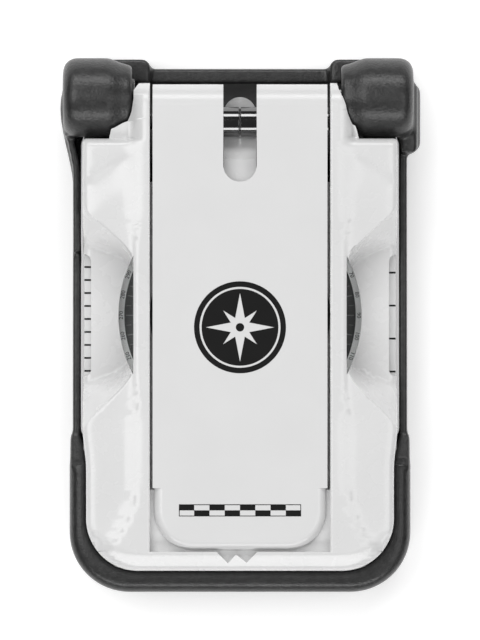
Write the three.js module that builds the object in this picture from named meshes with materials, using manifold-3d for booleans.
// A pocket geology compass: a boxed dial with a hinged lid, and a hinged sighting panel in the lid.
// Millimetres. X runs across the case, +Y to the hinge end, +Z up through the lid.
// The origin is the middle of the footprint, on the surface that the case lies on.
import * as THREE from "three";
import { mergeVertices } from "three/addons/utils/BufferGeometryUtils.js";
import Module from "manifold-3d";

const wasm = await Module();
wasm.setup();

// ---- Driving dimensions ----
const CASE_HALF = 30.2;        // half the width of the lid
const CASE_FRONT = -47.1;      // front face of the lid
const LID_REAR = 46.5;         // rear end of the lid's rails
const CORNER_R = 9;            // front corners of lid and base, seen from above
const GAP = 0.3;               // clearance between pieces that seat in or on each other
const RUN = 0.4;               // clearance between pieces that move past each other

const PLATE_T = 1.8;           // bottom plate
const DECK_Z = 13.5;           // top of the base
const LID_H = 12.1;            // from the deck to the top of the closed lid
const WALL = 2;                // walls of the lid

const HINGE_RISE = 4.7;        // lid hinge axis above the deck
const HOOD_R = 7.6;            // rubber hood round the hinge
const HOOD_WALL = 2.3;
const REAR_REACH = 4.85;       // the hoods reach this far behind the lid
const HOOD_REACH = 4.1;        // the hoods stand out this far past the lid's sides
const AXLE_R = 1.5;
const DRUM_W = 3.1;            // clinometer drum, along the axis
const DRUM_STEP = 0.5;         // the drums are this much smaller than the hoods

const BOOT_T = 2;              // the boot's side walls, outside its clearance
const BUMPER_T = 3.85;         // the boot's front wall
const BUMPER_RISE = 4;         // the front wall above the deck
const STRAP_T = 1.7;
const PAD_STEP = 0.5;          // the hinge pads stand out past the hoods

const PANEL_HALF = 16.8;       // sighting panel
const PANEL_T = 3;
const PANEL_FRONT = -42.7;
const PANEL_STEP_Y = -31.2;    // where the tongue of the panel starts
const PIN_SETBACK = 4.75;      // the panel's pin in front of the lid hinge
const PIN_R = 2.9;
const SLOT_HALF = 3.2;         // sighting slot
const SLOT_END = 27.5;

const DIAL_Y = 1.9;            // centre of the dial
const BOWL_R = 25.9;
const BOWL_WALL = 1.6;
const BOWL_FLOOR_Z = 5.6;
const GEAR_MODULE = 0.6;
const RING_WALL = 2.3;         // dial ring, outside the pitch line of its teeth
const PINION_TEETH = 9;
const NEEDLE_REACH = 16.5;

const SCOOP_STEP = 0.5;        // the scoops' inner walls stand off the rails
const RULER_W = 2.6;
const RULER_L = 60;
const BUTTON_SETBACK = 13.9;   // lock button behind the base's front
const BUTTON_R = 2;
const PINION_SHAFT_R = 1.6;
const PIN_TAIL_R = 1.5;        // the sight pins' thin ends, in the lid's rails
const MIRROR_MARGIN = 2.8;     // from the panel's sides to the mirror
const MIRROR_FRONT = -27;
const MIRROR_REAR = 23;
const MIRROR_T = 0.6;
const SCREW_R = 1.1;
const SCREW_HEAD_R = 2.1;
const SCREW_TOP = 8;
const LEVER_ARM = 15.5;        // from the lock button to the lever's pin
const LEVER_PIN_Z = 3.6;
const LEVEL_R = 6;             // round level
const LEVEL_X = 15.5;          // both levels, from the middle line
const LEVEL_SETBACK = 12.4;    // both levels, behind the base's front
const VIAL_L = 16;
const VIAL_W = 7;

// ---- Values that follow ----
const LID_TOP = DECK_Z + LID_H;
const HINGE_Z = DECK_Z + HINGE_RISE;
const OVERALL_REAR = LID_REAR + REAR_REACH;
const HOOD_HALF = CASE_HALF + HOOD_REACH;
const PAD_HALF = HOOD_HALF + PAD_STEP;
const BOOT_SIDE = CASE_HALF + GAP + BOOT_T;
const BOOT_FRONT = CASE_FRONT - RUN - BUMPER_T;
const BUMPER_TOP = DECK_Z + BUMPER_RISE;
const HINGE_Y = OVERALL_REAR - HOOD_R;
const PIN_Y = HINGE_Y - PIN_SETBACK;
const DRUM_R = HOOD_R - DRUM_STEP;
const EAR_R = HOOD_R - HOOD_WALL;
const LID_BOTTOM = DECK_Z + GAP;
const BASE_BOTTOM = PLATE_T + GAP;
const BASE_HALF = CASE_HALF - 0.2;
const BASE_FRONT = CASE_FRONT + 0.2;
const BASE_REAR = LID_REAR + 0.1;
const PANEL_BOTTOM = LID_TOP - PANEL_T;
const RECESS_Z = PANEL_BOTTOM - RUN;
const RAIL_IN = PANEL_HALF + RUN;
const RAIL_OUT = RAIL_IN + 2.7;
const BARREL_R = PIN_R + 2.1;
const PIN_Z = LID_TOP - BARREL_R;
const SCOOP_WALL_X = RAIL_OUT + SCOOP_STEP;
const WINDOW_R = RAIL_IN + 0.1;
const MIRROR_HALF = PANEL_HALF - MIRROR_MARGIN;
const DRUM_IN = RAIL_OUT + RUN;
const EAR_IN = DRUM_IN + DRUM_W + GAP;
const EAR_OUT = HOOD_HALF - HOOD_WALL - GAP;
const PILLAR_OUT = BASE_HALF - 0.1;
const HEAD_X = EAR_OUT - 1.8;
const LID_SHOULDER_Y = HINGE_Y - HOOD_R - RUN;
const SHELF_Z = BOWL_FLOOR_Z - GAP;
const BOWL_BORE = BOWL_R + GAP;
const CRYSTAL_Z = DECK_Z - 0.6;
const NEEDLE_Z = CRYSTAL_Z - 1.9;
const RING_R = BOWL_R - BOWL_WALL - RUN;
const LENS_R = RING_R - 0.5;
const RING_TEETH = Math.round((2 * (RING_R - RING_WALL)) / GEAR_MODULE);
const RING_PITCH_R = (GEAR_MODULE * RING_TEETH) / 2;
const PINION_PITCH_R = (GEAR_MODULE * PINION_TEETH) / 2;
const PINION_Y = DIAL_Y + RING_PITCH_R - PINION_PITCH_R;
const RING_TOP = CRYSTAL_Z - 0.6;
const RING_SKIRT_Z = BOWL_FLOOR_Z + 1 + RUN;
const RING_FLANGE_Z = RING_TOP - 2.4;
const RING_BORE = NEEDLE_REACH + 2;
const RULER_TOP = DECK_Z;
const BUTTON_Y = BASE_FRONT + BUTTON_SETBACK;
const FLANGE_Z = DECK_Z - 2.9;
const LEVER_PIN_Y = BUTTON_Y + LEVER_ARM;
const STEM_FOOT_Z = LEVER_PIN_Z + 0.7;
const LEVEL_Y = BASE_FRONT + LEVEL_SETBACK;
const SCREW_FRONT = [BASE_HALF - 8, BASE_FRONT + 6.9];
const SCREW_REAR = [(EAR_IN + PILLAR_OUT) / 2, BASE_REAR - 4];
const SCREW_SPOTS = [SCREW_FRONT, SCREW_REAR].flatMap(([x, y]) => [[-x, y], [x, y]]);

// ---- Making and joining solids ----
function solidOf(geometry) {
  const loose = geometry.index ? geometry.toNonIndexed() : geometry.clone();
  loose.deleteAttribute("normal");
  loose.deleteAttribute("uv");
  const merged = mergeVertices(loose, 1e-4);
  const spots = new Float32Array(merged.attributes.position.array);
  const triangles = new Uint32Array(merged.index.array);
  if (signedVolume(spots, triangles) < 0) {
    turnInsideOut(triangles);
  }
  return new wasm.Manifold(new wasm.Mesh({ numProp: 3, vertProperties: spots, triVerts: triangles }));
}

function signedVolume(spots, triangles) {
  const a = new THREE.Vector3();
  const b = new THREE.Vector3();
  const c = new THREE.Vector3();
  let sum = 0;
  for (let i = 0; i < triangles.length; i += 3) {
    a.fromArray(spots, 3 * triangles[i]);
    b.fromArray(spots, 3 * triangles[i + 1]);
    c.fromArray(spots, 3 * triangles[i + 2]);
    sum += a.dot(b.cross(c));
  }
  return sum;
}

function turnInsideOut(triangles) {
  for (let i = 0; i < triangles.length; i += 3) {
    const second = triangles[i + 1];
    triangles[i + 1] = triangles[i + 2];
    triangles[i + 2] = second;
  }
}

function geometryOf(solid) {
  const mesh = solid.getMesh();
  const geometry = new THREE.BufferGeometry();
  geometry.setAttribute("position", new THREE.BufferAttribute(new Float32Array(mesh.vertProperties), 3));
  geometry.setIndex(new THREE.BufferAttribute(new Uint32Array(mesh.triVerts), 1));
  return geometry;
}

function box(x0, x1, y0, y1, z0, z1) {
  const geometry = new THREE.BoxGeometry(Math.abs(x1 - x0), y1 - y0, z1 - z0);
  geometry.translate((x0 + x1) / 2, (y0 + y1) / 2, (z0 + z1) / 2);
  return solidOf(geometry);
}

// A body turned about a vertical axis at (x, y). The profile is [radius, z] pairs.
function turnedZ(profile, x, y, sides = 32) {
  const points = profile.map(([radius, z]) => new THREE.Vector2(radius, z));
  const geometry = new THREE.LatheGeometry(points, sides);
  geometry.rotateX(Math.PI / 2);
  geometry.translate(x, y, 0);
  return solidOf(geometry);
}

// A body turned about an axis along X through (y, z). The profile is [radius, x] pairs.
function turnedX(profile, y, z, sides = 32) {
  const points = profile.map(([radius, x]) => new THREE.Vector2(radius, x));
  const geometry = new THREE.LatheGeometry(points, sides);
  geometry.rotateZ(-Math.PI / 2);
  geometry.translate(0, y, z);
  return solidOf(geometry);
}

function rodZ(radius, x, y, z0, z1, sides = 32) {
  return turnedZ([[0, z0], [radius, z0], [radius, z1], [0, z1]], x, y, sides);
}

function rodX(radius, x0, x1, y, z, sides = 32) {
  return turnedX([[0, x0], [radius, x0], [radius, x1], [0, x1]], y, z, sides);
}

function ringZ(inner, outer, x, y, z0, z1, sides = 48) {
  return rodZ(outer, x, y, z0, z1, sides).subtract(rodZ(inner, x, y, z0 - 1, z1 + 1, sides));
}

// The outline as straight steps, with no point repeated where a line meets an arc.
function stepped(shape, curveSegments) {
  const points = shape.getPoints(curveSegments);
  const distinct = points.filter((point, i) => point.distanceTo(points[(i + 1) % points.length]) > 0.01);
  return new THREE.Shape(distinct);
}

// A flat outline in X and Y, raised from z0 to z1. A bevel rounds its upper and lower edges.
function raised(shape, z0, z1, bevel = 0, curveSegments = 8) {
  const options = { depth: z1 - z0, bevelEnabled: false };
  if (bevel > 0) {
    options.depth = z1 - z0 - 2 * bevel;
    options.bevelEnabled = true;
    options.bevelThickness = bevel;
    options.bevelSize = bevel;
    options.bevelOffset = -bevel;
    options.bevelSegments = 3;
  }
  const geometry = new THREE.ExtrudeGeometry(stepped(shape, curveSegments), options);
  geometry.translate(0, 0, z0 + bevel);
  return solidOf(geometry);
}

// An outline in Y and Z, carried along X from x0 to x1.
function carriedX(shape, x0, x1, curveSegments = 8) {
  const options = { depth: x1 - x0, bevelEnabled: false };
  const geometry = new THREE.ExtrudeGeometry(stepped(shape, curveSegments), options);
  const axes = new THREE.Matrix4().makeBasis(
    new THREE.Vector3(0, 1, 0),
    new THREE.Vector3(0, 0, 1),
    new THREE.Vector3(1, 0, 0),
  );
  geometry.applyMatrix4(axes);
  geometry.translate(x0, 0, 0);
  return solidOf(geometry);
}

function outlineOf(points) {
  return new THREE.Shape(points.map(([x, y]) => new THREE.Vector2(x, y)));
}

// A rectangle with round corners at the front (low Y) and smaller ones at the rear.
function caseOutline(half, front, rear, frontR, rearR) {
  const shape = new THREE.Shape();
  shape.moveTo(-half + frontR, front);
  shape.lineTo(half - frontR, front);
  shape.absarc(half - frontR, front + frontR, frontR, -Math.PI / 2, 0, false);
  shape.lineTo(half, rear - rearR);
  shape.absarc(half - rearR, rear - rearR, rearR, 0, Math.PI / 2, false);
  shape.lineTo(-half + rearR, rear);
  shape.absarc(-half + rearR, rear - rearR, rearR, Math.PI / 2, Math.PI, false);
  shape.lineTo(-half, front + frontR);
  shape.absarc(-half + frontR, front + frontR, frontR, Math.PI, 1.5 * Math.PI, false);
  return shape;
}

// ---- Base ----
function baseShell() {
  const outline = caseOutline(BASE_HALF, BASE_FRONT, BASE_REAR, CORNER_R, 1);
  let shell = raised(outline, BASE_BOTTOM, DECK_Z);
  const sweep = HOOD_R + 1.8;
  shell = shell.subtract(rodX(sweep, -EAR_IN, EAR_IN, HINGE_Y, HINGE_Z, 40));
  shell = shell.subtract(rodX(sweep, -RAIL_IN, RAIL_IN, PIN_Y, PIN_Z, 48));
  for (const side of [-1, 1]) {
    shell = shell.add(pillarAndEar(side));
    shell = shell.subtract(rodX(AXLE_R + GAP, side * (EAR_IN - 1), side * EAR_OUT, HINGE_Y, HINGE_Z, 20));
    shell = shell.subtract(rodX(AXLE_R + 1.5, side * (HEAD_X - GAP), side * (EAR_OUT + 1), HINGE_Y, HINGE_Z, 20));
    const inner = side * (BASE_HALF - RULER_W - GAP);
    const long = RULER_L / 2 + GAP;
    shell = shell.subtract(box(inner, side * (BASE_HALF + 1), -long, long, DECK_Z - 1.2, DECK_Z + 1));
  }
  shell = shell.subtract(rodZ(BOWL_BORE, 0, DIAL_Y, SHELF_Z, DECK_Z + 1, 72));
  shell = shell.subtract(rodZ(4.2, 0, DIAL_Y, BASE_BOTTOM - 1, SHELF_Z + 1, 24));
  shell = shell.subtract(rodZ(PINION_PITCH_R + 0.6, 0, PINION_Y, BASE_BOTTOM - 1, SHELF_Z + 1, 24));
  shell = shell.subtract(box(-2.6, 2.6, BUTTON_Y - 3, DIAL_Y + 3, BASE_BOTTOM - 1, SHELF_Z - 0.2));
  shell = shell.subtract(box(-4.9, 4.9, LEVER_PIN_Y - 1, LEVER_PIN_Y + 1, BASE_BOTTOM - 1, LEVER_PIN_Z + 1));
  shell = shell.subtract(rodZ(BUTTON_R + GAP, 0, BUTTON_Y, BASE_BOTTOM - 1, DECK_Z, 24));
  shell = shell.subtract(rodZ(BUTTON_R + 1.6, 0, BUTTON_Y, SHELF_Z, DECK_Z + 1, 24));
  shell = shell.subtract(rodZ(LEVEL_R + GAP, -LEVEL_X, LEVEL_Y, DECK_Z - 7, DECK_Z + 1, 32));
  shell = shell.subtract(vialBlock(GAP, DECK_Z - 6.5, DECK_Z + 1));
  for (const [x, y] of SCREW_SPOTS) {
    shell = shell.subtract(rodZ(SCREW_R + GAP, x, y, 0, SCREW_TOP + GAP, 16));
  }
  return shell;
}

function pillarAndEar(side) {
  const ear = rodX(EAR_R - GAP, side * EAR_IN, side * EAR_OUT, HINGE_Y, HINGE_Z, 32);
  const rear = Math.min(BASE_REAR, HINGE_Y + EAR_R - GAP);
  const front = HINGE_Y - EAR_R + GAP;
  return ear.add(box(side * EAR_IN, side * PILLAR_OUT, front, rear, BASE_BOTTOM, HINGE_Z));
}

function bottomPlate() {
  const outline = caseOutline(BASE_HALF - 0.4, BASE_FRONT + 0.4, BASE_REAR - 0.4, CORNER_R, 1);
  let plate = raised(outline, 0, PLATE_T);
  for (const [x, y] of SCREW_SPOTS) {
    plate = plate.subtract(rodZ(SCREW_R + GAP, x, y, -1, PLATE_T + 1, 16));
    plate = plate.subtract(rodZ(SCREW_HEAD_R + GAP, x, y, -1, 1.1, 16));
  }
  return plate.subtract(rodZ(PINION_SHAFT_R + GAP, 0, PINION_Y, -1, PLATE_T + 1, 20));
}

function screw(x, y) {
  const profile = [[0, 0.2], [SCREW_HEAD_R, 0.2], [SCREW_HEAD_R, 0.8], [SCREW_R, 0.8],
    [SCREW_R, SCREW_TOP - 0.6], [0.5, SCREW_TOP], [0, SCREW_TOP]];
  const body = turnedZ(profile, x, y, 16);
  const slotAcross = box(x - 1.5, x + 1.5, y - 0.3, y + 0.3, 0, 0.55);
  const slotAlong = box(x - 0.3, x + 0.3, y - 1.5, y + 1.5, 0, 0.55);
  return body.subtract(slotAcross).subtract(slotAlong);
}

// ---- Dial ----
function compassBowl() {
  const inner = BOWL_R - BOWL_WALL;
  const rim = CRYSTAL_Z - GAP;
  const profile = [[0, BOWL_FLOOR_Z], [BOWL_R, BOWL_FLOOR_Z], [BOWL_R, rim], [inner, rim],
    [inner, BOWL_FLOOR_Z + 1], [0, BOWL_FLOOR_Z + 1]];
  let bowl = turnedZ(profile, 0, DIAL_Y, 48);
  bowl = bowl.subtract(rodZ(3.5, 0, DIAL_Y, 0, DECK_Z, 24));
  return bowl.subtract(rodZ(PINION_SHAFT_R + GAP, 0, PINION_Y, 0, DECK_Z, 20));
}

// Straight-sided teeth on a circle. inward teeth point at the centre.
function toothedOutline(teeth, pitchR, addendum, dedendum, inward, turn) {
  const points = [];
  const step = (2 * Math.PI) / teeth;
  const tipR = pitchR + (inward ? -addendum : addendum);
  const rootR = pitchR + (inward ? dedendum : -dedendum);
  for (let i = 0; i < teeth; i += 1) {
    const middle = turn + i * step;
    const spots = [[rootR, -0.3], [tipR, -0.1], [tipR, 0.1], [rootR, 0.3]];
    for (const [radius, share] of spots) {
      const angle = middle + share * step;
      points.push([radius * Math.cos(angle), radius * Math.sin(angle)]);
    }
  }
  return points;
}

function azimuthRing() {
  const flange = ringZ(RING_BORE, RING_R, 0, DIAL_Y, RING_FLANGE_Z, RING_TOP, 48);
  const halfTooth = Math.PI / RING_TEETH;
  const teeth = toothedOutline(RING_TEETH, RING_PITCH_R, 0.45, 0.7, true, Math.PI / 2 + halfTooth);
  const hole = outlineOf(teeth.map(([x, y]) => [x, y + DIAL_Y]));
  const skirt = rodZ(RING_R, 0, DIAL_Y, RING_SKIRT_Z, RING_FLANGE_Z + 0.1, 48);
  return flange.add(skirt.subtract(raised(hole, RING_SKIRT_Z - 1, RING_TOP)));
}

function declinationPinion() {
  const teeth = toothedOutline(PINION_TEETH, PINION_PITCH_R, 0.45, 0.7, false, Math.PI / 2);
  const outline = outlineOf(teeth.map(([x, y]) => [x, y + PINION_Y]));
  return raised(outline, RING_SKIRT_Z + 0.2, RING_FLANGE_Z - RUN)
    .subtract(rodZ(0.9, 0, PINION_Y, 0, DECK_Z, 16));
}

function declinationScrew() {
  const top = RING_FLANGE_Z - RUN;
  const profile = [[0, 0.3], [PINION_SHAFT_R, 0.3], [PINION_SHAFT_R, RING_SKIRT_Z - 0.15],
    [0.6, RING_SKIRT_Z - 0.15], [0.6, top], [0, top]];
  const slot = box(-1.2, 1.2, PINION_Y - 0.3, PINION_Y + 0.3, 0, 1);
  return turnedZ(profile, 0, PINION_Y, 20).subtract(slot);
}

function pivotPost() {
  const foot = BASE_BOTTOM + GAP;
  const tip = NEEDLE_Z;
  const profile = [[0, foot], [1.2, foot], [1.2, tip - 2.8], [0.6, tip - 1.2], [0.12, tip], [0, tip]];
  return turnedZ(profile, 0, DIAL_Y, 16);
}

function needle() {
  const tip = NEEDLE_REACH;
  const half = [[0.15, tip], [1.5, 2.2], [1.5, -2.2], [0.9, -tip + 1.5], [0.15, -tip]];
  const points = [...half, ...half.map(([x, y]) => [-x, y]).reverse()];
  const outline = outlineOf(points.map(([x, y]) => [x, y + DIAL_Y]));
  const hub = rodZ(2.6, 0, DIAL_Y, NEEDLE_Z, NEEDLE_Z + 0.5, 24);
  return raised(outline, NEEDLE_Z, NEEDLE_Z + 0.5).add(hub)
    .subtract(rodZ(1.5, 0, DIAL_Y, 0, DECK_Z, 20));
}

function needleCap() {
  const top = NEEDLE_Z + 1.1;
  const profile = [[0, NEEDLE_Z + 0.3], [0.5, NEEDLE_Z - 0.4], [1.2, NEEDLE_Z - 0.4],
    [1.2, NEEDLE_Z + 0.7], [0.5, top], [0, top]];
  return turnedZ(profile, 0, DIAL_Y, 20);
}

function needleCounterweight() {
  const y = DIAL_Y - NEEDLE_REACH + 4.5;
  const outer = box(-1.8, 1.8, y - 0.8, y + 0.8, NEEDLE_Z - 0.6, NEEDLE_Z + 1.1);
  return outer.subtract(box(-1.4, 1.4, y - 1, y + 1, NEEDLE_Z - 0.3, NEEDLE_Z + 0.8));
}

function crystal() {
  return rodZ(BOWL_R - 0.1, 0, DIAL_Y, CRYSTAL_Z, CRYSTAL_Z + 1.1, 48);
}

function crystalRing() {
  const low = CRYSTAL_Z + 1.1 + GAP;
  return ringZ(LENS_R + 0.7, BOWL_R, 0, DIAL_Y, low, low + 0.8, 48);
}

// ---- Levels, lock and rulers ----
function roundLevelHousing() {
  const low = DECK_Z - 6.5;
  const floor = low + 1.2;
  const profile = [[0, low], [LEVEL_R, low], [LEVEL_R, DECK_Z], [LEVEL_R - 1, DECK_Z],
    [LEVEL_R - 1, floor], [0, floor]];
  return turnedZ(profile, -LEVEL_X, LEVEL_Y, 32);
}

function roundLevelGlass() {
  const inner = LEVEL_R - 1 - GAP;
  const low = DECK_Z - 4.9;
  const profile = [[0, low], [inner, low], [inner, DECK_Z - 1], [inner * 0.6, DECK_Z - 0.5],
    [0, DECK_Z - 0.4]];
  return turnedZ(profile, -LEVEL_X, LEVEL_Y, 32);
}

function vialBlock(grow, z0, z1) {
  const halfL = VIAL_L / 2 + grow;
  const halfW = VIAL_W / 2 + grow;
  return box(LEVEL_X - halfL, LEVEL_X + halfL, LEVEL_Y - halfW, LEVEL_Y + halfW, z0, z1);
}

function vialHolder() {
  return vialBlock(0, DECK_Z - 6.2, DECK_Z).subtract(vialBlock(-1.1, DECK_Z - 5.3, DECK_Z + 1));
}

function vial() {
  const x = LEVEL_X;
  const half = VIAL_L / 2 - 1.2 - GAP;
  const profile = [[0, x - half], [1.5, x - half], [2.1, x - half + 0.7], [2.1, x + half - 0.7],
    [1.5, x + half], [0, x + half]];
  return turnedX(profile, LEVEL_Y, DECK_Z - 2.7, 20);
}

function lockButton() {
  const top = DECK_Z + 1.5;
  const profile = [[0, STEM_FOOT_Z], [BUTTON_R, STEM_FOOT_Z], [BUTTON_R, FLANGE_Z],
    [BUTTON_R + 1.2, FLANGE_Z], [BUTTON_R + 1.2, FLANGE_Z + 1], [BUTTON_R, FLANGE_Z + 1],
    [BUTTON_R, top - 0.4], [BUTTON_R - 0.4, top], [0, top]];
  return turnedZ(profile, 0, BUTTON_Y, 24);
}

function buttonCollar() {
  return ringZ(BUTTON_R + GAP, BUTTON_R + 1.3, 0, BUTTON_Y, FLANGE_Z + 1.3, DECK_Z, 24);
}

function lockSpring() {
  return ringZ(BUTTON_R + GAP, BUTTON_R + 1, 0, BUTTON_Y, SHELF_Z + GAP, FLANGE_Z - 1.2, 24);
}

// A see-saw: the button presses its front end, and the sleeve at its other end lifts the needle.
function liftLever() {
  const low = LEVER_PIN_Z - 0.4;
  const high = LEVER_PIN_Z + 0.4;
  const bar = box(-1.8, 1.8, BUTTON_Y - 2, DIAL_Y, low, high);
  const eye = rodX(1.3, -1.8, 1.8, LEVER_PIN_Y, LEVER_PIN_Z, 16);
  const foot = rodZ(2.9, 0, DIAL_Y, low, high, 24);
  const sleeve = rodZ(2.7, 0, DIAL_Y, low, NEEDLE_Z - 1.8, 24);
  return bar.add(eye).add(foot).add(sleeve)
    .subtract(rodZ(2, 0, DIAL_Y, 0, DECK_Z, 24))
    .subtract(rodX(0.9, -3, 3, LEVER_PIN_Y, LEVER_PIN_Z, 12));
}

function leverPin() {
  return rodX(0.6, -4.6, 4.6, LEVER_PIN_Y, LEVER_PIN_Z, 12);
}

function ruler(side) {
  const inner = side * (BASE_HALF - RULER_W);
  return box(inner, side * BASE_HALF, -RULER_L / 2, RULER_L / 2, DECK_Z - 0.9, RULER_TOP);
}

// ---- Boot ----
function boot() {
  const front = caseOutline(BOOT_SIDE, BOOT_FRONT, -20, CORNER_R + 3, 3);
  let rubber = raised(front, 0.8, BUMPER_TOP, 1.2);
  for (const side of [-1, 1]) {
    const strapIn = side * (BOOT_SIDE - STRAP_T);
    rubber = rubber.add(box(strapIn, side * BOOT_SIDE, -22, HINGE_Y, 3, 12));
    rubber = rubber.add(hood(side));
  }
  rubber = rubber.add(box(-HOOD_HALF + 1, HOOD_HALF - 1, BASE_REAR + GAP, OVERALL_REAR - 2.05, 0.8, 8.2));
  const roomFront = BASE_FRONT - GAP;
  const room = caseOutline(BASE_HALF + GAP, roomFront, BASE_REAR + GAP, CORNER_R, 1);
  rubber = rubber.subtract(raised(room, -1, DECK_Z + GAP));
  const lidRoom = caseOutline(CASE_HALF + RUN, CASE_FRONT - RUN, LID_SHOULDER_Y + 0.2, CORNER_R, 1);
  rubber = rubber.subtract(raised(lidRoom, DECK_Z - 0.2, LID_TOP + 1));
  for (const side of [-1, 1]) {
    rubber = rubber.subtract(hoodRoom(side));
  }
  return rubber;
}

function hood(side) {
  const round = 2.2;
  const inner = EAR_IN + 0.2;
  const profile = [[0, inner], [HOOD_R - 0.5, inner], [HOOD_R, inner + 0.5],
    [HOOD_R, HOOD_HALF - round], [HOOD_R - 0.7, HOOD_HALF - 0.7], [HOOD_R - round, HOOD_HALF],
    [0, HOOD_HALF]];
  const barrel = turnedX(profile.map(([r, x]) => [r, side * x]), HINGE_Y, HINGE_Z, 40);
  const fillTop = HINGE_Z - HOOD_R - 1;
  const fill = box(side * (RAIL_IN + 0.1), side * HOOD_HALF, BASE_REAR + GAP, OVERALL_REAR, 0.8, fillTop);
  const skirt = box(side * (EAR_IN + 0.2), side * HOOD_HALF, HINGE_Y - HOOD_R, OVERALL_REAR, 0.8, HINGE_Z);
  const pad = box(side * (BASE_HALF + GAP), side * PAD_HALF, HINGE_Y - 10.8, HINGE_Y + 3, 4, HINGE_Z + 1.8);
  return barrel.add(fill).add(skirt).add(pad);
}

// The room inside a hood for the base's pillar and ear and for the axle's head.
function hoodRoom(side) {
  const ear = rodX(EAR_R, side * (EAR_IN - 1), side * (EAR_OUT + GAP), HINGE_Y, HINGE_Z, 32);
  const front = HINGE_Y - EAR_R;
  const pillar = box(side * (EAR_IN - 1), side * (PILLAR_OUT + GAP), front, BASE_REAR + GAP, 0, HINGE_Z);
  return ear.add(pillar);
}

// ---- Lid hinge ----
function hingeAxle(side) {
  const profile = [[0, RAIL_IN + 0.6], [AXLE_R, RAIL_IN + 0.6], [AXLE_R, HEAD_X], [AXLE_R + 1.1, HEAD_X],
    [AXLE_R + 1.1, EAR_OUT - 0.4], [0, EAR_OUT - 0.4]];
  return turnedX(profile.map(([r, x]) => [r, side * x]), HINGE_Y, HINGE_Z, 20);
}

function drumProfile(grow) {
  const inner = DRUM_IN - grow;
  const outer = DRUM_IN + DRUM_W + grow;
  return [[0, inner], [DRUM_R - 2 + grow, inner], [DRUM_R + grow, outer], [0, outer]];
}

// The room that the lid leaves round a drum and the ear beside it.
function drumRoom(side) {
  const [start, narrow, wide] = drumProfile(RUN);
  const profile = [start, narrow, wide, [wide[0], CASE_HALF + 1], [0, CASE_HALF + 1]];
  return profile.map(([r, x]) => [r, side * x]);
}

function clinometerDrum(side) {
  const body = turnedX(drumProfile(0).map(([r, x]) => [r, side * x]), HINGE_Y, HINGE_Z, 40);
  return body.subtract(rodX(AXLE_R + GAP, side * (DRUM_IN - 1), side * (EAR_IN + 1), HINGE_Y, HINGE_Z, 20));
}

// ---- Lid ----
// The side scoop's outline on the side given: an S-shaped ridge at each end of a straight wall.
function scoopOutline(side, grow) {
  const out = side * (CASE_HALF + 1);
  const at = (share) => side * (SCOOP_WALL_X - grow + share * (CASE_HALF - SCOOP_WALL_X + grow));
  const rear = (y) => DIAL_Y + y + grow;
  const front = (y) => DIAL_Y - y - grow;
  const shape = new THREE.Shape();
  shape.moveTo(out, rear(24.6));
  shape.bezierCurveTo(at(1), rear(19.6), at(0.73), rear(18.5), at(0.57), rear(17.6));
  shape.bezierCurveTo(at(0.29), rear(16.1), at(0), rear(13.3), at(0), rear(9.1));
  shape.lineTo(at(0), front(8.4));
  shape.bezierCurveTo(at(0), front(12.9), at(0.27), front(15.4), at(0.57), front(17.2));
  shape.bezierCurveTo(at(0.84), front(18.5), at(1), front(20.4), out, front(24.4));
  return shape;
}

// The dished cut of a scoop, made bigger by grow to give its shell.
function scoopCut(side, grow) {
  const dish = new THREE.SphereGeometry(1, 32, 16);
  dish.rotateX(Math.PI / 2);
  dish.scale(14 + grow, 27 + grow, 10 + grow);
  dish.translate(side * CASE_HALF, 2, LID_TOP + 1.4);
  return solidOf(dish).intersect(raised(scoopOutline(side, grow), LID_BOTTOM, LID_TOP + 2, 0, 6));
}

function lensWindow(side) {
  const disc = rodZ(LENS_R, 0, DIAL_Y, LID_BOTTOM - 1, LID_TOP + 1, 48);
  return disc.intersect(box(side * SCOOP_WALL_X, side * CASE_HALF, -20, 20, LID_BOTTOM - 1, LID_TOP + 1));
}

function rulerWindow(side) {
  const shape = new THREE.Shape();
  const inner = side * (CASE_HALF - 1.4);
  const out = side * (CASE_HALF + 1);
  shape.moveTo(out, 15);
  shape.quadraticCurveTo(inner, 14, inner, 11.5);
  shape.lineTo(inner, -7);
  shape.quadraticCurveTo(inner, -9.5, out, -10.5);
  return raised(shape, LID_BOTTOM - 1, LID_TOP + 1, 0, 5);
}

// The rounded rear end that the rails and the panel share, seen from the side.
function rearRound(x0, x1, low, rear) {
  const radius = 4.7;
  const shape = new THREE.Shape();
  shape.moveTo(CASE_FRONT - 5, low);
  shape.lineTo(rear, low);
  shape.lineTo(rear, LID_TOP - radius);
  shape.absarc(rear - radius, LID_TOP - radius, radius, 0, Math.PI / 2, false);
  shape.lineTo(CASE_FRONT - 5, LID_TOP);
  return carriedX(shape, x0, x1, 5);
}

function lidOutline() {
  const shape = new THREE.Shape();
  const half = CASE_HALF;
  const shoulder = LID_SHOULDER_Y;
  const neck = RAIL_OUT - 2;
  shape.moveTo(-half + CORNER_R, CASE_FRONT);
  shape.lineTo(half - CORNER_R, CASE_FRONT);
  shape.absarc(half - CORNER_R, CASE_FRONT + CORNER_R, CORNER_R, -Math.PI / 2, 0, false);
  shape.lineTo(half, shoulder);
  shape.lineTo(EAR_IN + 0.2, shoulder);
  shape.lineTo(EAR_IN - 0.3, shoulder + 1.6);
  shape.lineTo(neck, LID_REAR);
  shape.lineTo(-neck, LID_REAR);
  shape.lineTo(-EAR_IN + 0.3, shoulder + 1.6);
  shape.lineTo(-EAR_IN - 0.2, shoulder);
  shape.lineTo(-half, shoulder);
  shape.lineTo(-half, CASE_FRONT + CORNER_R);
  shape.absarc(-half + CORNER_R, CASE_FRONT + CORNER_R, CORNER_R, Math.PI, 1.5 * Math.PI, false);
  return shape;
}

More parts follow.
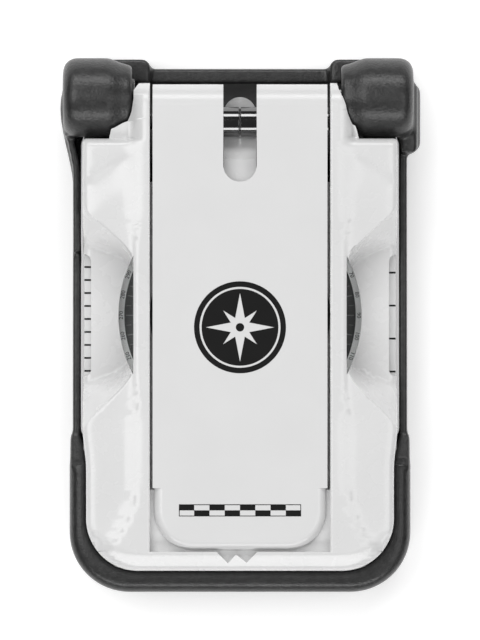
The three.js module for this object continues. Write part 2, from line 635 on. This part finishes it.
function lidShell() {
  const bevel = 1.4;
  let lid = raised(lidOutline(), LID_BOTTOM - 2 * bevel, LID_TOP, bevel);
  lid = lid.intersect(rearRound(-CASE_HALF - 1, CASE_HALF + 1, LID_BOTTOM, LID_REAR));
  lid = lid.subtract(lidHollow());
  for (const side of [-1, 1]) {
    lid = lid.subtract(scoopCut(side, 0));
    lid = lid.subtract(lensWindow(side));
    lid = lid.subtract(rulerWindow(side));
    lid = lid.subtract(rodX(AXLE_R + GAP, side * (RAIL_IN - 1), side * (EAR_IN + 2), HINGE_Y, HINGE_Z, 20));
    lid = lid.subtract(rodX(PIN_TAIL_R + GAP, side * (RAIL_IN - 1), side * (RAIL_OUT - 0.8), PIN_Y, PIN_Z, 16));
    lid = lid.subtract(turnedX(drumRoom(side), HINGE_Y, HINGE_Z, 40));
  }
  lid = lid.subtract(panelRoom());
  lid = lid.subtract(rodZ(WINDOW_R, 0, DIAL_Y, LID_BOTTOM, LID_TOP, 48));
  return lid.add(sightTongue());
}

// Everything inside the lid's walls: over the dial, under the panel's floor, and in both ends.
function lidHollow() {
  const low = LID_BOTTOM - 1;
  const middleHalf = SCOOP_WALL_X - 1.8;
  const underFloor = RECESS_Z - WALL;
  let hollow = rodZ(BOWL_BORE + 0.2, 0, DIAL_Y, low, DECK_Z + 2.1, 48);
  hollow = hollow.add(box(-middleHalf, middleHalf, CASE_FRONT + 4, SLOT_END - WALL, low, underFloor));
  for (const side of [-1, 1]) {
    const inner = side * (RAIL_OUT + 1);
    const outer = side * (CASE_HALF - WALL);
    hollow = hollow.add(box(inner, side * (CASE_HALF - 5), CASE_FRONT + 5, -24, low, LID_TOP - WALL));
    hollow = hollow.add(box(side * (CASE_HALF - 8), outer, SLOT_END, LID_SHOULDER_Y - WALL, low, LID_TOP - WALL));
  }
  return hollow;
}

// The recess that the panel lies in, and the open space round its pins.
function panelRoom() {
  const seat = raised(panelOutline(RUN, false), RECESS_Z, LID_TOP + 2);
  const open = box(-RAIL_IN, RAIL_IN, SLOT_END, LID_REAR + 2, LID_BOTTOM - 1, LID_TOP + 2);
  return seat.add(open);
}

// The white tongue in the slot: a trough round the pins, with a half-round rear end.
function sightTongue() {
  const half = 2.7;
  const inner = 7.2;
  const outer = 8.4;
  const tip = PIN_Y + 4.8;
  const shape = new THREE.Shape();
  const start = Math.PI + 0.15;
  const stop = 1.75 * Math.PI;
  shape.absarc(PIN_Y, PIN_Z, outer, start, stop, false);
  shape.absarc(PIN_Y, PIN_Z, inner, stop, start, true);
  const trough = carriedX(shape, -half, half, 12);
  const plan = new THREE.Shape();
  plan.moveTo(-half, SLOT_END - 1);
  plan.lineTo(half, SLOT_END - 1);
  plan.lineTo(half, tip - half);
  plan.absarc(0, tip - half, half, 0, Math.PI, false);
  const stem = box(-half, half, SLOT_END - 1, PIN_Y - inner + 0.2, RECESS_Z - WALL, RECESS_Z);
  const bend = rodX(outer, -half, half, PIN_Y, PIN_Z, 40)
    .intersect(box(-half, half, PIN_Y - outer, PIN_Y - inner + 2, LID_BOTTOM, RECESS_Z))
    .subtract(rodX(inner, -half - 1, half + 1, PIN_Y, PIN_Z, 40));
  return trough.add(bend).add(stem).intersect(raised(plan, LID_BOTTOM - 4, LID_TOP, 0, 8));
}

// ---- Sighting panel ----
// The panel seen from above, made bigger by grow. Its slot is left out for the recess.
function panelOutline(grow, slotted) {
  const half = PANEL_HALF + grow;
  const tongueHalf = PANEL_HALF - 0.9 + grow;
  const front = PANEL_FRONT - grow;
  const cornerR = 7.5;
  const rear = LID_REAR + grow;
  const shape = new THREE.Shape();
  shape.moveTo(-tongueHalf + cornerR, front);
  shape.lineTo(tongueHalf - cornerR, front);
  shape.absarc(tongueHalf - cornerR, front + cornerR, cornerR, -Math.PI / 2, 0, false);
  shape.lineTo(tongueHalf, PANEL_STEP_Y - grow);
  shape.lineTo(half, PANEL_STEP_Y - grow);
  shape.lineTo(half, rear);
  if (slotted) {
    shape.lineTo(SLOT_HALF, rear);
    shape.lineTo(SLOT_HALF, SLOT_END + SLOT_HALF);
    shape.absarc(0, SLOT_END + SLOT_HALF, SLOT_HALF, 0, Math.PI, true);
    shape.lineTo(-SLOT_HALF, rear);
  }
  shape.lineTo(-half, rear);
  shape.lineTo(-half, PANEL_STEP_Y - grow);
  shape.lineTo(-tongueHalf, PANEL_STEP_Y - grow);
  shape.lineTo(-tongueHalf, front + cornerR);
  shape.absarc(-tongueHalf + cornerR, front + cornerR, cornerR, Math.PI, 1.5 * Math.PI, false);
  return shape;
}

function sightingPanel() {
  let panel = raised(panelOutline(0, true), PANEL_BOTTOM, LID_TOP);
  for (const side of [-1, 1]) {
    panel = panel.add(rodX(BARREL_R, side * (SLOT_HALF + 0.4), side * (PANEL_HALF - 0.2), PIN_Y, PIN_Z, 40));
  }
  panel = panel.subtract(rodX(PIN_R + GAP, -RAIL_IN, RAIL_IN, PIN_Y, PIN_Z, 32));
  panel = panel.intersect(rearRound(-RAIL_IN, RAIL_IN, PIN_Z - BARREL_R - 1, LID_REAR));
  const room = GAP;
  return panel.subtract(box(-MIRROR_HALF - room, MIRROR_HALF + room, MIRROR_FRONT - room, MIRROR_REAR + room,
    PANEL_BOTTOM - 1, PANEL_BOTTOM + MIRROR_T + 2 * room));
}

function mirrorGlass() {
  const low = PANEL_BOTTOM + GAP;
  return box(-MIRROR_HALF, MIRROR_HALF, MIRROR_FRONT, MIRROR_REAR, low, low + MIRROR_T);
}

function sightPin(side) {
  const tail = RAIL_OUT - 1.2;
  const profile = [[0, 0.2], [PIN_R, 0.2], [PIN_R, RAIL_IN - GAP], [PIN_TAIL_R, RAIL_IN - GAP],
    [PIN_TAIL_R, tail], [0, tail]];
  return turnedX(profile.map(([r, x]) => [r, side * x]), PIN_Y, PIN_Z, 32);
}

// ---- Assembly ----
const FINISHES = {
  white: { color: 0xe4e4e4, roughness: 0.35, metalness: 0 },
  black: { color: 0x1c1c1d, roughness: 0.5, metalness: 0 },
  rubber: { color: 0x2c2d2e, roughness: 0.85, metalness: 0 },
  blackChrome: { color: 0x222223, roughness: 0.18, metalness: 1 },
  steel: { color: 0xb4b5b6, roughness: 0.3, metalness: 1 },
  brass: { color: 0xb08d45, roughness: 0.3, metalness: 1 },
  aluminium: { color: 0xa8a9aa, roughness: 0.4, metalness: 1 },
  glass: { color: 0xe8f0ee, roughness: 0.05, metalness: 0 },
  mirror: { color: 0xf0f0f0, roughness: 0.02, metalness: 1 },
};

const group = new THREE.Group();

function place(name, solid, finish) {
  const mesh = new THREE.Mesh(geometryOf(solid), new THREE.MeshStandardMaterial(FINISHES[finish]));
  mesh.name = name;
  group.add(mesh);
}

place("base_shell", baseShell(), "black");
place("bottom_plate", bottomPlate(), "black");
SCREW_SPOTS.forEach(([x, y], index) => {
  place(`bottom_screw_${index + 1}`, screw(x, y), "steel");
});
place("boot", boot(), "rubber");
place("compass_bowl", compassBowl(), "aluminium");
place("azimuth_ring", azimuthRing(), "black");
place("declination_pinion", declinationPinion(), "brass");
place("declination_screw", declinationScrew(), "brass");
place("pivot_post", pivotPost(), "steel");
place("needle", needle(), "steel");
place("needle_cap", needleCap(), "brass");
place("needle_counterweight", needleCounterweight(), "brass");
place("crystal", crystal(), "glass");
place("crystal_ring", crystalRing(), "black");
place("round_level_housing", roundLevelHousing(), "brass");
place("round_level_glass", roundLevelGlass(), "glass");
place("vial_holder", vialHolder(), "brass");
place("vial", vial(), "glass");
place("lock_button", lockButton(), "steel");
place("button_collar", buttonCollar(), "brass");
place("lock_spring", lockSpring(), "steel");
place("lift_lever", liftLever(), "steel");
place("lever_pin", leverPin(), "steel");
place("lid_shell", lidShell(), "white");
place("sighting_panel", sightingPanel(), "white");
place("mirror_glass", mirrorGlass(), "mirror");
for (const [side, word] of [[-1, "left"], [1, "right"]]) {
  place(`ruler_${word}`, ruler(side), "white");
  place(`hinge_axle_${word}`, hingeAxle(side), "steel");
  place(`clinometer_drum_${word}`, clinometerDrum(side), "black");
  place(`sight_pin_${word}`, sightPin(side), "blackChrome");
}

export default group;
